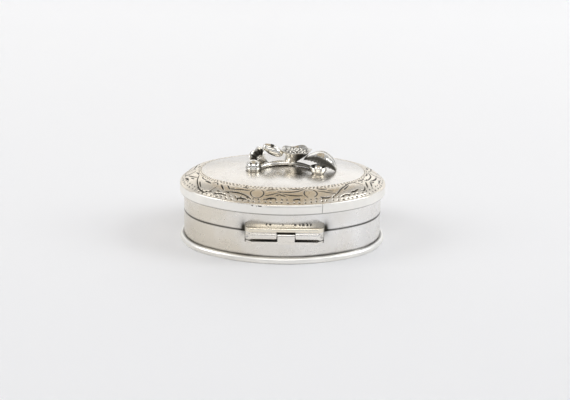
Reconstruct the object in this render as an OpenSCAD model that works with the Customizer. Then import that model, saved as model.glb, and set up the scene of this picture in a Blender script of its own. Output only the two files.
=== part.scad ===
// Oval hinged pill box in sheet silver: a base with a snap bezel, a domed lid
// with an engraved border, a three-knuckle hinge and a spray of flowers on the lid.
// +Z is up, the foot stands on z = 0, the hinge is on the -Y side and the
// thumb piece on the +Y side.

/* [Body] */
// Length of the side walls, outside
body_length = 38.4; // [36:0.2:48]
// Width of the side walls, outside
body_width = 29; // [24:0.2:35]
// Height of the seam between the base and the lid
seam_height = 6.15; // [5:0.05:9]
// Height of the lid's side wall, from the seam to the lid plate
lid_wall_height = 5.2; // [4.2:0.05:8]
// Thickness of the side walls
wall = 0.6; // [0.45:0.05:0.9]
// Thickness of the floor plate
floor_thickness = 0.6; // [0.4:0.05:1]
// Open gap along the seam
seam_gap = 0.12; // [0.06:0.01:0.2]

/* [Foot and rim] */
// How far the foot and the rim stand out from the walls
overhang = 0.8; // [0.7:0.05:1.2]
// Height of the half-round foot
foot_height = 1.3; // [1:0.05:1.4]
// Height of the flat band under the lid plate
rim_height = 1.5; // [0.9:0.05:1.8]

/* [Bezel] */
// Thickness of the inner bezel
bezel_thickness = 0.45; // [0.35:0.05:0.7]
// How far the bezel stands up above the seam
bezel_rise = 1.3; // [0.8:0.05:1.6]
// Clearance between the bezel and the lid wall
bezel_clearance = 0.12; // [0.1:0.01:0.2]

/* [Lid plate] */
// Thickness of the lid plate
plate_thickness = 0.5; // [0.4:0.05:0.8]
// Width of the engraved border
border_width = 4.3; // [3:0.1:5]
// How far the border falls from its inner line to the plate's edge
border_fall = 2; // [1.2:0.1:3]
// How far the middle of the lid rises above the border's inner line
crown_rise = 0.6; // [0.2:0.05:1.2]

/* [Hinge] */
// Length of the whole hinge
hinge_length = 14.8; // [11:0.1:18]
// How far the hinge sits to the right of the middle of the wall
hinge_offset = 0.5; // [-0.6:0.1:0.6]
// Length of the middle knuckle
middle_length = 3.3; // [2.4:0.1:5]
// How far the middle knuckle sits to the right of the middle of the hinge
middle_offset = 0.3; // [-0.6:0.1:0.6]
// Outer radius of the knuckles
knuckle_radius = 0.75; // [0.6:0.01:0.95]
// Radius of the hinge pin
pin_radius = 0.35; // [0.25:0.01:0.45]
// Radial clearance of the pin in the middle knuckle
pin_clearance = 0.03; // [0.02:0.005:0.05]
// Gap at each side of the middle knuckle
knuckle_gap = 0.12; // [0.06:0.01:0.2]
// Gap between the knuckles and the wall
wall_gap = 0.15; // [0.1:0.01:0.25]
// How far the hinge axis lies below the seam
axis_drop = 0.35; // [0.2:0.01:0.5]
// Height of the bar along the top of the hinge
bar_height = 0.85; // [0.6:0.05:1.2]
// Gap between the middle knuckle and the bar
bar_gap = 0.2; // [0.15:0.01:0.3]
// Height of the ledge along the bottom of the hinge
ledge_height = 0.5; // [0.4:0.05:0.8]
// Gap between the lid's knuckles and the ledge
ledge_gap = 0.17; // [0.15:0.01:0.3]

/* [Thumb piece] */
// Width of the thumb piece along the wall
thumb_width = 6; // [4:0.1:9]
// How far the thumb piece stands out
thumb_reach = 1; // [0.6:0.05:1.6]
// Thickness of the thumb piece
thumb_thickness = 0.6; // [0.4:0.05:1]

/* [Flowers] */
// Height of the middle flower
middle_flower_height = 2.8; // [2.5:0.1:3.3]
// Mouth radius of the middle flower
middle_flower_mouth = 3.2; // [2.6:0.05:3.8]
// Length of the bell flower
bell_length = 3; // [2.6:0.1:3.4]
// Mouth radius of the bell flower
bell_mouth = 1.9; // [1.5:0.05:2]
// Length of the closed bud behind the bell flower
petal_bud_length = 4.4; // [3.6:0.1:5]
// Radius of the closed bud behind the bell flower
petal_bud_radius = 1.1; // [0.8:0.05:1.3]
// Radius of the left bud
left_bud_radius = 1.55; // [1:0.05:1.6]
// Mouth radius of the right bud
right_bud_radius = 1.7; // [1.3:0.05:1.9]
// Radius of the stem wire that joins the flowers
stem_radius = 0.42; // [0.3:0.01:0.55]

/* [Hidden] */
$fn = 144;

// The plan is the drafting oval of four arcs, whose centres make 3-4-5 triangles
body_a = body_length / 2;
body_b = body_width / 2;
oval_step = 2.5 * (body_a - body_b);
end_radius = body_b - 0.2 * oval_step;
side_radius = end_radius + oval_step;
end_centre = 0.6 * oval_step;
side_centre = 0.8 * oval_step;

lid_bottom = seam_height + seam_gap;
plate_bottom = seam_height + lid_wall_height;
edge_round = 0.3;
border_top = plate_bottom + plate_thickness + border_fall;
border_power = 2.8;
plate_steps = 10;
crown_top = border_top + crown_rise;
crown_reach = overhang + 0.88 * end_radius;
crown_slope = 2 * crown_rise / (crown_reach - border_width);

axis_y = -(body_b + knuckle_radius + wall_gap);
axis_z = seam_height - axis_drop;
bar_bottom = knuckle_radius + bar_gap;
bar_top = bar_bottom + bar_height;
ledge_top = -(knuckle_radius + ledge_gap);
ledge_front = knuckle_radius + 0.1;
hinge_left = hinge_offset - hinge_length / 2;
hinge_right = hinge_offset + hinge_length / 2;
middle_left = hinge_offset + middle_offset - middle_length / 2;
middle_right = middle_left + middle_length;
hinge_back = body_b * 0.4;
hinge_chamfer = 0.7;

petal_wall = 0.35;
middle_flower_at = [2.5, 2.3];
middle_flower_lean = 3;
middle_flower_neck = 0.7;
neck_at = [1.3, 2.3];
neck_lean = 28;
neck_radius = 0.9;
bell_at = [-3.5, 2.6];
bell_lean = 45;
bell_bearing = 215;
bell_neck = 0.6;
left_bud_at = [-5.7, -1.7];
left_bud_height = 1.2;
right_bud_at = [6.8, -3.5];
stem_centre = [0.6, -4.9];
stem_sweep = 6.3;

silver = [0.86, 0.85, 0.82];
dark_silver = [0.5, 0.49, 0.46];

// ---- Shared shapes ----

// n + 1 points along an arc
function arc_points(cx, cy, r, from, to, n) =
    [for (i = [0:n]) let (t = from + (to - from) * i / n) [cx + r * cos(t), cy + r * sin(t)]];

// Height of the lid plate's outside, at a distance in from the lid's edge
function border_z(inset) =
    let (back = border_width - inset,
         whole = border_width - edge_round)
    border_top - crown_slope * back
        - (border_fall - crown_slope * whole) * pow(back / whole, border_power);
function crown_z(inset) = crown_top
    - crown_rise * pow((crown_reach - inset) / (crown_reach - border_width), 2);
function plate_z(inset) = inset < border_width
    ? border_z(max(inset, edge_round))
    : crown_z(min(inset, crown_reach));

// The outside of the lid plate from the border's inner line to the flat middle
crown_line = [for (i = [0:plate_steps])
    let (d = border_width + (crown_reach - border_width) * i / plate_steps)
    [overhang - d, crown_z(d)]];

// Distance of a point of the plan in from the lid's edge
function inset_at(x, y) =
    let (past = abs(x) - end_centre)
    overhang + (3 * abs(y) < 4 * past
        ? end_radius - norm([past, y])
        : side_radius - norm([x, abs(y) + side_centre]));

// The plan's oval, drawn out from the walls by a distance
module oval(out) {
    e = end_radius + out;
    s = side_radius + out;
    intersection() {
        translate([0, -side_centre]) circle(r = s);
        translate([0, side_centre]) circle(r = s);
        square([2 * (end_centre + 0.6 * e), 2 * s], center = true);
    }
    for (side = [-1, 1])
        translate([side * end_centre, 0]) circle(r = e);
}

// An upright block on the plan's oval
module oval_block(out, from, to) {
    translate([0, 0, from]) linear_extrude(to - from) oval(out);
}

// An upright band on the plan's oval
module oval_band(out, thickness, from, to) {
    translate([0, 0, from]) linear_extrude(to - from) difference() {
        oval(out);
        oval(out - thickness);
    }
}

// A profile led round the plan's oval; its x is the distance out from the walls
module round_the_oval() {
    far = 60;
    for (side = [-1, 1]) {
        intersection() {
            translate([side * end_centre, 0]) rotate_extrude()
                translate([end_radius, 0]) children();
            translate([0, 0, -far]) linear_extrude(2 * far) polygon([
                [side * end_centre, 0],
                [side * (end_centre + 0.6 * far), 0.8 * far],
                [side * (end_centre + 0.6 * far), -0.8 * far]]);
        }
        intersection() {
            translate([0, -side * side_centre]) rotate_extrude()
                translate([side_radius, 0]) children();
            translate([0, 0, -far]) linear_extrude(2 * far) polygon([
                [0, -side * side_centre],
                [-0.6 * far, side * (0.8 * far - side_centre)],
                [0.6 * far, side * (0.8 * far - side_centre)]]);
        }
    }
}

// Everything below the middle of the lid plate, to cut the feet of the flowers
module under_crown() {
    round_the_oval() polygon(concat(
        [[overhang - crown_reach, plate_bottom], [overhang - border_width, plate_bottom]],
        crown_line));
    oval_block(overhang - crown_reach, plate_bottom, crown_top);
}

// Everything below the top of the crown
module under_crown_top() {
    translate([0, 0, crown_top - 4]) linear_extrude(4) square(body_width, center = true);
}

// A profile of the hinge, drawn in (y, z) about the hinge axis, from x0 to x1
module along_hinge(x0, x1) {
    translate([x0, axis_y, axis_z]) rotate([90, 0, 90]) linear_extrude(x1 - x0) children();
}

// The hinge's plan, with its outer corners cut off
module hinge_plan() {
    front = axis_y - knuckle_radius;
    linear_extrude(plate_bottom) polygon([
        [hinge_left + hinge_chamfer + 1, front - 1],
        [hinge_right - hinge_chamfer - 1, front - 1],
        [hinge_right - hinge_chamfer, front], [hinge_right, front + hinge_chamfer],
        [hinge_right, 0], [hinge_left, 0],
        [hinge_left, front + hinge_chamfer], [hinge_left + hinge_chamfer, front]]);
}

module pin_hole(radius) {
    translate([-hinge_length, axis_y, axis_z]) rotate([0, 90, 0])
        cylinder(r = radius, h = 2 * hinge_length);
}

// ---- Base ----

module base_plate() {
    color(silver) oval_block(-wall, 0, floor_thickness);
}

module foot_rim() {
    bead = foot_height / 2;
    color(silver) round_the_oval() intersection() {
        square([overhang, foot_height]);
        union() {
            square([overhang - bead, foot_height]);
            square([overhang - bead / 2, bead / 2]);
            translate([overhang - bead, bead]) circle(r = bead);
        }
    }
}

module base_wall() {
    color(silver) oval_band(0, wall, 0, seam_height);
}

module bezel() {
    lead = 0.12;
    top = seam_height + bezel_rise;
    color(silver) {
        oval_band(-wall, bezel_thickness, floor_thickness, seam_height);
        oval_band(-wall - bezel_clearance, bezel_thickness - bezel_clearance,
            seam_height, top - lead);
        oval_band(-wall - bezel_clearance - lead, bezel_thickness - bezel_clearance - lead,
            top - lead, top);
    }
}

module hinge_ledge() {
    low = ledge_top - ledge_height;
    bevel = 0.15;
    color(silver) difference() {
        intersection() {
            along_hinge(hinge_left, hinge_right) polygon([
                [-ledge_front, ledge_top], [-ledge_front, low + bevel],
                [-ledge_front + bevel, low], [hinge_back, low], [hinge_back, ledge_top]]);
            hinge_plan();
        }
        oval_block(0, 0, seam_height);
    }
}

module middle_knuckle() {
    web_back = 0.6 * knuckle_radius;
    color(silver) difference() {
        along_hinge(middle_left, middle_right) {
            circle(r = knuckle_radius);
            polygon([[-knuckle_radius, 0], [-knuckle_radius, ledge_top],
                [web_back, ledge_top], [web_back, 0]]);
        }
        pin_hole(pin_radius + pin_clearance);
    }
}

// ---- Lid ----

module hinge_pin() {
    inset = 0.15;
    color(dark_silver) translate([hinge_left + inset, axis_y, axis_z]) rotate([0, 90, 0])
        cylinder(r = pin_radius, h = hinge_length - 2 * inset);
}

// One of the lid's knuckles: a tube with a flat front that runs up to the bar
module outer_knuckle(x0, x1) {
    color(silver) difference() {
        intersection() {
            along_hinge(x0, x1) {
                circle(r = knuckle_radius);
                translate([-knuckle_radius, 0]) square([2 * knuckle_radius, bar_bottom]);
            }
            hinge_plan();
        }
        pin_hole(pin_radius);
    }
}

module left_knuckle() {
    outer_knuckle(hinge_left, middle_left - knuckle_gap);
}

module right_knuckle() {
    outer_knuckle(middle_right + knuckle_gap, hinge_right);
}

module hinge_bar() {
    bend = 0.45;
    color(silver) difference() {
        intersection() {
            along_hinge(hinge_left, hinge_right) polygon(concat(
                [[-knuckle_radius, bar_bottom]],
                arc_points(-knuckle_radius + bend, bar_top - bend, bend, 180, 100, 6),
                [[knuckle_radius, bar_top + 0.15], [hinge_back, bar_top + 0.15],
                 [hinge_back, bar_bottom]]));
            hinge_plan();
        }
        oval_block(0, 0, plate_bottom);
    }
}

module lid_wall() {
    color(silver) oval_band(0, wall, lid_bottom, plate_bottom);
}

module rim_band() {
    low = plate_bottom - rim_height;
    soft = 0.15;
    color(silver) round_the_oval() {
        translate([0, low + soft]) square([overhang, rim_height - soft]);
        translate([0, low]) square([overhang - soft, rim_height]);
        translate([overhang - soft, low + soft]) circle(r = soft);
    }
}

module lid_plate() {
    seat = wall + 0.35;
    shoulder = plate_bottom + plate_thickness - edge_round;
    border_line = [for (i = [0:plate_steps - 1])
        let (d = edge_round + (border_width - edge_round) * i / plate_steps)
        [overhang - d, border_z(d)]];
    inside = [for (i = [plate_steps:-1:0])
        let (d = overhang + seat + (crown_reach - overhang - seat) * i / plate_steps)
        [overhang - d, plate_z(d) - plate_thickness]];
    color(silver) {
        round_the_oval() polygon(concat(
            [[overhang, plate_bottom]],
            arc_points(overhang - edge_round, shoulder, edge_round, 0, 72, 4),
            border_line, crown_line, inside, [[-seat, plate_bottom]]));
        oval_block(overhang - crown_reach, crown_top - plate_thickness, crown_top);
    }
}

module thumb_piece() {
    half = thumb_width / 2;
    color(silver) difference() {
        translate([0, body_b + thumb_reach - half, lid_bottom])
            cylinder(r = half, h = thumb_thickness);
        oval_block(0, 0, plate_bottom);
    }
}

// ---- Flowers ----

// Moves a piece to a point on the lid plate, leaning by an angle towards a bearing
module planted(at, lean, bearing) {
    translate([at[0], at[1], plate_z(inset_at(at[0], at[1]))])
        rotate([0, 0, bearing]) rotate([0, lean, 0]) children();
}

// Radius of a flower's outside, part of the way from its neck to its mouth
function flare(neck, mouth, t) = neck + (mouth - neck) * pow(t, 1.8);

// A flower's outside, filled, turned about its own axis: a neck and a flared mouth
module flower_outside(height, neck, mouth) {
    steps = 8;
    outside = [for (i = [0:steps]) let (t = i / steps)
        [flare(neck, mouth, t), height * t]];
    rotate_extrude() polygon(concat(
        [[0, -0.8], [neck * 1.1, -0.8]], outside, [[0, height]]));
}

// An open flower
module flower(height, neck, mouth) {
    steps = 8;
    inside = [for (i = [3:steps]) let (t = i / steps)
        [flare(neck, mouth, t) - petal_wall, height * t]];
    difference() {
        flower_outside(height, neck, mouth);
        rotate_extrude() polygon(concat(
            [[0, height * 3 / steps]], inside,
            [[mouth - petal_wall, height + 1], [0, height + 1]]));
    }
}

// What fills a flower from a step of its height up to a domed top
module flower_middle(height, neck, mouth, from, to, dome) {
    steps = 8;
    inside = [for (i = [from:to]) let (t = i / steps)
        [flare(neck, mouth, t) - petal_wall, height * t]];
    edge = inside[to - from];
    rotate_extrude() polygon(concat(
        [[0, inside[0][1]]], inside,
        [for (i = [1:6]) [edge[0] * cos(15 * i), edge[1] + dome * sin(15 * i)]]));
}

module flower_stem() {
    color(silver) difference() {
        translate([stem_centre[0], stem_centre[1], crown_top + 0.7 * stem_radius])
            rotate([0, 0, 12]) rotate_extrude(angle = 136)
            translate([stem_sweep, 0]) circle(r = stem_radius, $fn = 72);
        under_crown();
        planted(left_bud_at, 0, 0) translate([0, 0, -1]) cylinder(r = left_bud_radius, h = 4);
        planted(right_bud_at, 0, 0) translate([0, 0, -1]) cylinder(r = right_bud_radius, h = 4);
    }
}

module middle_flower_place() {
    planted(middle_flower_at, middle_flower_lean, 0) children();
}

// The middle flower's neck, which leans over to meet the cup from one side
module middle_neck() {
    intersection() {
        planted(neck_at, neck_lean, 0) translate([0, 0, -1])
            cylinder(r = neck_radius, h = middle_flower_height);
        translate([0, 0, crown_top - 2]) linear_extrude(2 + 0.3 * middle_flower_height)
            square(20, center = true);
    }
}

// The middle flower's outside, filled
module middle_flower_outside() {
    middle_flower_place() intersection() {
        flower_outside(middle_flower_height, middle_flower_neck, middle_flower_mouth);
        translate([0, 0, 0.2 * middle_flower_height])
            cylinder(r = 2 * middle_flower_mouth, h = middle_flower_height);
    }
    middle_neck();
}

module middle_flower() {
    color(silver) difference() {
        union() {
            middle_flower_place() intersection() {
                flower(middle_flower_height, middle_flower_neck, middle_flower_mouth);
                translate([0, 0, 0.2 * middle_flower_height])
                    cylinder(r = 2 * middle_flower_mouth, h = middle_flower_height);
            }
            middle_neck();
        }
        under_crown();
        flower_stem();
    }
}

module middle_flower_seeds() {
    color(dark_silver) middle_flower_place()
        flower_middle(middle_flower_height, middle_flower_neck, middle_flower_mouth, 5, 7, 0.3);
}

module bell_place() {
    planted(bell_at, bell_lean, bell_bearing) children();
}

module bell_flower() {
    color(silver) difference() {
        bell_place() flower(bell_length, bell_neck, bell_mouth);
        under_crown_top();
    }
}

module bell_flower_stamens() {
    color(dark_silver) bell_place()
        flower_middle(bell_length, bell_neck, bell_mouth, 4, 5, 0.6);
}

module left_bud() {
    r = left_bud_radius;
    h = left_bud_height;
    color(silver) difference() {
        planted(left_bud_at, 0, 0) rotate_extrude() polygon(concat(
            [[0, -0.5], [r * 0.85, -0.5], [r * 0.85, 0.15], [r, 0.5]],
            [for (i = [0:6]) [r * cos(15 * i), h + 0.75 * sin(15 * i)]]));
        under_crown();
    }
}

module right_bud() {
    r = right_bud_radius;
    color(silver) difference() {
        planted(right_bud_at, 0, 0) rotate_extrude() polygon([
            [0, -0.5], [r * 0.6, -0.5], [r * 0.6, 0.15], [r * 0.88, 0.6], [r, 1.2],
            [r - 0.25, 1.3], [r - petal_wall - 0.1, 1], [0, 0.8]]);
        under_crown();
    }
}

module right_bud_bead() {
    r = right_bud_radius;
    color(silver) planted(right_bud_at, 0, 0) rotate_extrude() polygon(concat(
        [[0, 0.8], [r * 0.5, 0.8 + 0.2 * r * 0.5 / (r - petal_wall - 0.1)]],
        [for (i = [1:6]) [r * 0.5 * cos(15 * i), 0.95 + 0.65 * sin(15 * i)]]));
}

module petal_bud() {
    steps = 12;
    color(silver) difference() {
        translate([-2, 1.9, crown_top + 2.9]) rotate([0, 116, 0]) rotate_extrude() polygon(
            [for (i = [0:steps]) let (t = 180 * i / steps)
                [petal_bud_radius * pow(sin(t), 0.8), -petal_bud_length / 2 * cos(t)]]);
        middle_flower_outside();
        bell_place() flower_outside(bell_length, bell_neck, bell_mouth);
    }
}

module right_leaf() {
    curl = 3.6;
    blade = 3.4;
    thickness = 0.45;
    lens = 3.8;
    color(silver) difference() {
        translate([6.9, -0.7, crown_top - 0.4]) rotate([0, 16, -12]) intersection() {
            difference() {
                sphere(r = curl);
                sphere(r = curl - thickness);
            }
            linear_extrude(curl) intersection() {
                translate([0, 1.5]) circle(r = lens);
                translate([0, -1.5]) circle(r = lens);
                circle(r = blade);
            }
        }
        under_crown_top();
        flower_stem();
        middle_flower_outside();
    }
}

base_plate();
foot_rim();
base_wall();
bezel();
hinge_ledge();
middle_knuckle();
hinge_pin();
lid_wall();
rim_band();
lid_plate();
hinge_bar();
left_knuckle();
right_knuckle();
thumb_piece();
flower_stem();
middle_flower();
middle_flower_seeds();
bell_flower();
bell_flower_stamens();
left_bud();
right_bud();
right_bud_bead();
petal_bud();
right_leaf();
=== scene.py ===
"""An oval silver pill box with an engraved lid border and a spray of flowers on the lid."""
import math
from functools import partial

import bmesh
import bpy
import numpy as np
from mathutils import Matrix, Vector


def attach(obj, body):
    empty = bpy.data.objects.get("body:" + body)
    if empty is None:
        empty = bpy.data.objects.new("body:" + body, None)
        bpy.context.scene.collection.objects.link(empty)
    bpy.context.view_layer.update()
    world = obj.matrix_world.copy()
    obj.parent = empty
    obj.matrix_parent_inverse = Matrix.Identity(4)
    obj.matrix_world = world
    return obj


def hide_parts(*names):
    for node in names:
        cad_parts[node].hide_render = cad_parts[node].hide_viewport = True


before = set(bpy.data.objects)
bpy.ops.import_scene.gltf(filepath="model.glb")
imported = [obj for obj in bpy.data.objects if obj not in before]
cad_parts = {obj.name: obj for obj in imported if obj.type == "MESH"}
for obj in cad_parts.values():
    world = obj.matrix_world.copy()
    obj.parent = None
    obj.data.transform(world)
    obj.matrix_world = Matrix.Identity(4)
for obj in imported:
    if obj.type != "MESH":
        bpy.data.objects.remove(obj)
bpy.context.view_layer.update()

MM = 0.001

# ---------------------------------------------------------------- sizes, in millimetres
WALL_A, WALL_B, WALL = 19.2, 14.5, 0.6
OVAL_STEP = 2.5 * (WALL_A - WALL_B)
END_RADIUS = WALL_B - 0.2 * OVAL_STEP
SIDE_RADIUS = END_RADIUS + OVAL_STEP
END_CENTRE = 0.6 * OVAL_STEP
SIDE_CENTRE = 0.8 * OVAL_STEP
END_ANGLE = math.atan2(0.8, 0.6)
EDGE, OVERHANG = 0.8, 0.79
SEAM = 6.15
LID_BOTTOM = SEAM + 0.12
PLATE_BOTTOM = SEAM + 5.2
PLATE = 0.5
EDGE_ROUND = 0.3
BORDER = 4.3
BORDER_FALL = 2.0
BORDER_POWER = 2.8
BORDER_TOP = PLATE_BOTTOM + PLATE + BORDER_FALL
CROWN_RISE = 0.6
CROWN_TOP = BORDER_TOP + CROWN_RISE
CROWN_REACH = EDGE + 0.88 * END_RADIUS
CROWN_SLOPE = 2 * CROWN_RISE / (CROWN_REACH - BORDER)
AXIS_Y = -(WALL_B + 0.75 + 0.15)
AXIS_Z = SEAM - 0.35
HINGE_LEFT, HINGE_RIGHT, HINGE_CHAMFER = -6.9, 7.9, 0.7
HINGE_MIDDLE, HINGE_HALF = 0.5, 7.4
MIDDLE_LEFT, MIDDLE_RIGHT = -0.85, 2.45
MIDDLE_CENTRE, MIDDLE_HALF = 0.8, 1.65
KNUCKLE_GAP = 0.12
KNUCKLE = 0.745
BAR_BOTTOM, BAR_TOP = 0.95, 1.8
LEDGE_TOP = -0.92


def plate_height(inset):
    """Height of the lid plate's outside, at a distance in from the lid's edge."""
    inset = np.minimum(np.maximum(np.asarray(inset, float), EDGE_ROUND), CROWN_REACH)
    back = np.maximum(BORDER - inset, 0)
    whole = BORDER - EDGE_ROUND
    border = BORDER_TOP - CROWN_SLOPE * back \
        - (BORDER_FALL - CROWN_SLOPE * whole) * (back / whole) ** BORDER_POWER
    crown = CROWN_TOP - CROWN_RISE * ((CROWN_REACH - inset) / (CROWN_REACH - BORDER)) ** 2
    return np.where(inset < BORDER, border, crown)


# ---------------------------------------------------------------- node tree helpers
def feed(tree, socket, value):
    """A link from a socket, or a plain value."""
    if isinstance(value, bpy.types.NodeSocket):
        tree.links.new(value, socket)
    else:
        socket.default_value = value


def add_node(tree, kind, feeds=None, **settings):
    """A node with its settings, and a link or a plain value for each socket that is named."""
    made = tree.nodes.new(kind)
    for key, value in settings.items():
        setattr(made, key, value)
    for socket, value in (feeds or {}).items():
        feed(tree, made.inputs[socket], value)
    return made


def maths(tree, operation, *values):
    return add_node(tree, "ShaderNodeMath", dict(enumerate(values)), operation=operation).outputs[0]


def sums(tree):
    """Plus, minus and times for a tree."""
    return [partial(maths, tree, kind) for kind in ("ADD", "SUBTRACT", "MULTIPLY")]


def map_range(tree, *values, kind="LINEAR"):
    """The value, then the range that it comes from and the range that it goes to."""
    return add_node(tree, "ShaderNodeMapRange", dict(enumerate(values)), interpolation_type=kind).outputs[0]


def combine(tree, x, y, z=0.0):
    return add_node(tree, "ShaderNodeCombineXYZ", {0: x, 1: y, 2: z}).outputs[0]


def mix_colours(tree, amount, first, second):
    return add_node(tree, "ShaderNodeMix", {0: amount, 6: first, 7: second}, data_type="RGBA").outputs[2]


def vector_maths(tree, operation, first, second):
    """Two vectors worked together, or one scaled by a number."""
    other = "Scale" if operation == "SCALE" else 1
    return add_node(tree, "ShaderNodeVectorMath", {0: first, other: second}, operation=operation).outputs[0]


def random_vector(tree, low, high, seed):
    return add_node(tree, "FunctionNodeRandomValue", {"Min": low, "Max": high, "Seed": seed},
                    data_type="FLOAT_VECTOR").outputs[0]


def new_group(name, sockets):
    """A geometry node group: the tree, the sockets that it is given and the socket of its result."""
    tree = bpy.data.node_groups.new(name, "GeometryNodeTree")
    for label, kind in {"Geometry": "Geometry", **sockets}.items():
        tree.interface.new_socket(label, in_out="INPUT", socket_type="NodeSocket" + kind)
    tree.interface.new_socket("Geometry", in_out="OUTPUT", socket_type="NodeSocketGeometry")
    return tree, add_node(tree, "NodeGroupInput").outputs, add_node(tree, "NodeGroupOutput").inputs[0]


def grow(name, tree, values, body, replaced, crease=40, place=None):
    """Runs a node group once and keeps its result as a plain mesh that rides on a body."""
    holder = bpy.data.objects.new(name + "_rule", bpy.data.meshes.new(name + "_rule"))
    bpy.context.scene.collection.objects.link(holder)
    modifier = holder.modifiers.new("rule", "NODES")
    modifier.node_group = tree
    for item in tree.interface.items_tree:
        if item.item_type == "SOCKET" and item.in_out == "INPUT" and item.name in values:
            modifier[item.identifier] = values[item.name]
    graph = bpy.context.evaluated_depsgraph_get()
    mesh = bpy.data.meshes.new_from_object(holder.evaluated_get(graph), depsgraph=graph)
    mesh.name = name
    if place is not None:
        mesh.transform(Matrix.Scale(MM, 4) @ place @ Matrix.Scale(1 / MM, 4))
    bpy.data.objects.remove(holder)
    return keep(name, mesh, body, replaced, crease)


def keep(name, mesh, body, replaced, crease=40):
    """Makes a mesh into a smooth piece that rides on a body and replaces CAD nodes."""
    piece = bpy.data.objects.new(name, mesh)
    bpy.context.scene.collection.objects.link(piece)
    mesh.shade_smooth()
    mesh.set_sharp_from_angle(angle=math.radians(crease))
    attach(piece, body)
    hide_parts(*replaced)
    return piece


def surface(name, points, faces, finish=None):
    """A mesh from points in millimetres."""
    mesh = bpy.data.meshes.new(name)
    mesh.from_pydata([tuple(c * MM for c in p) for p in points], [], faces)
    if finish:
        mesh.materials.append(finish)
    return mesh


def ring_faces(rows, n):
    """The faces that join closed rings of n points, row by row."""
    return [(r * n + i, r * n + (i + 1) % n, (r + 1) * n + (i + 1) % n, (r + 1) * n + i)
            for r in range(rows - 1) for i in range(n)]


def solid(name, rings, finish):
    """A closed mesh through rings of points, with a cap at each end."""
    n, rows = len(rings[0]), len(rings)
    caps = [tuple(reversed(range(n))), tuple(range((rows - 1) * n, rows * n))]
    return surface(name, [p for ring in rings for p in ring], ring_faces(rows, n) + caps, finish)


def loft(name, rings, finish, body, replaced, crease=50):
    """Joins rings of points into one closed piece, with its faces turned outward."""
    mesh = solid(name, rings, finish)
    shape = bmesh.new()
    shape.from_mesh(mesh)
    bmesh.ops.recalc_face_normals(shape, faces=shape.faces)
    shape.to_mesh(mesh)
    shape.free()
    return keep(name, mesh, body, replaced, crease)


def turned(name, profile, place, finish, body, replaced, around, wave=None, crease=50):
    """A piece turned about its own axis; wave(angle, radius, height) gives the wavy radius and height."""
    rings = []
    for r, z in profile:
        ring = []
        for k in range(around):
            t = 2 * math.pi * k / around
            wr, wz = wave(t, r, z) if wave else (r, z)
            ring.append(place @ Vector((wr * math.cos(t), wr * math.sin(t), wz)))
        rings.append(ring)
    return loft(name, rings, finish, body, replaced, crease)


def line_object(name, points, closed, attribute, values):
    """Points joined by edges, in metres, with a number on each if any. It only feeds node groups."""
    n = len(points)
    edges = [(i, i + 1) for i in range(n - 1)] + ([(n - 1, 0)] if closed else [])
    mesh = bpy.data.meshes.new(name)
    mesh.from_pydata([tuple(p) for p in points], edges, [])
    if len(values):
        made = mesh.attributes.new(attribute, "FLOAT", "POINT")
        made.data.foreach_set("value", np.asarray(values, np.float32))
    return bpy.data.objects.new(name, mesh)


# ---------------------------------------------------------------- materials
def new_material(name):
    made = bpy.data.materials.new(name)
    made.use_nodes = True
    made.node_tree.nodes.clear()
    return made, made.node_tree


def shade_with(tree, **sockets):
    """The shader and the output. Each keyword names one of its sockets, with _ for a space."""
    feeds = {key.replace("_", " "): value for key, value in sockets.items()}
    shader = add_node(tree, "ShaderNodeBsdfPrincipled", feeds)
    add_node(tree, "ShaderNodeOutputMaterial", {0: shader.outputs[0]})


def silver(name, tint, rough, dark_from=None, soot=0.0, scratches=1.0, warm=0.0):
    """Sterling silver: soft clouds of polish, fine scratches, and darkened metal where dark_from says."""
    made, tree = new_material(name)
    calc, spread = partial(maths, tree), partial(map_range, tree)
    plus, _, times = sums(tree)
    place = add_node(tree, "ShaderNodeTexCoord").outputs["Object"]

    def clouds(size, detail, shift, stretch=(1, 1, 1)):
        moved = add_node(tree, "ShaderNodeMapping", {
            0: place, "Scale": stretch, "Location": (shift, shift * 0.7, shift * 1.3)})
        return add_node(tree, "ShaderNodeTexNoise", {
            "Vector": moved.outputs[0], "Scale": size, "Detail": detail, "Roughness": 0.55}).outputs["Fac"]

    smudge = clouds(260, 4, 0.3)
    fine = clouds(1500, 3, 0.1)
    hair = clouds(2600, 2, 0.5, (0.12, 1, 1.0))
    colour = mix_colours(tree, spread(smudge, 0.35, 0.68, 0.0, 1.0),
                         (*[c * 0.93 for c in tint], 1), (*tint, 1))
    if warm:
        # straw-coloured tarnish in broad clouds, and a painted warm glow that grows towards the left
        apart = add_node(tree, "ShaderNodeSeparateXYZ", {0: place})
        painted_left_glow = spread(apart.outputs[0], -0.019, 0.008, 0.75, 0.0)
        blotch = spread(clouds(110, 3, 0.7), 0.38, 0.66, 0.0, 1.0)
        amount = times(plus(painted_left_glow, times(blotch, 0.55)), warm)
        colour = mix_colours(tree, amount, colour, (tint[0] * 0.82, tint[1] * 0.77, tint[2] * 0.68, 1))
    rough_now = spread(plus(times(smudge, 0.7), times(fine, 0.3)),
                       0.35, 0.65, rough * 0.75, rough * 1.35)
    darks = []
    # the dark colour paints shade where the attribute holds painted shade, and real dark marks where it
    # holds pits, joints and cuts; soot adds random dark clouds
    if dark_from:
        darks.append(add_node(tree, "ShaderNodeAttribute", attribute_name=dark_from).outputs["Fac"])
    if soot:
        darks.append(times(spread(clouds(900, 4, 0.9), 0.58, 0.72, 0.0, 1.0), soot))
    if darks:
        dark = calc("MAXIMUM", *darks) if len(darks) == 2 else darks[0]
        colour = mix_colours(tree, dark, colour, (0.055, 0.05, 0.04, 1))
        rough_now = calc("MAXIMUM", rough_now, times(dark, 0.6))
    height = plus(times(hair, 0.6), times(fine, 0.5))
    bump = add_node(tree, "ShaderNodeBump", {
        "Strength": 0.22 * scratches, "Distance": 0.00002, "Height": height})
    shade_with(tree, Base_Color=colour, Metallic=1.0, Roughness=rough_now, Normal=bump.outputs[0])
    return made


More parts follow.
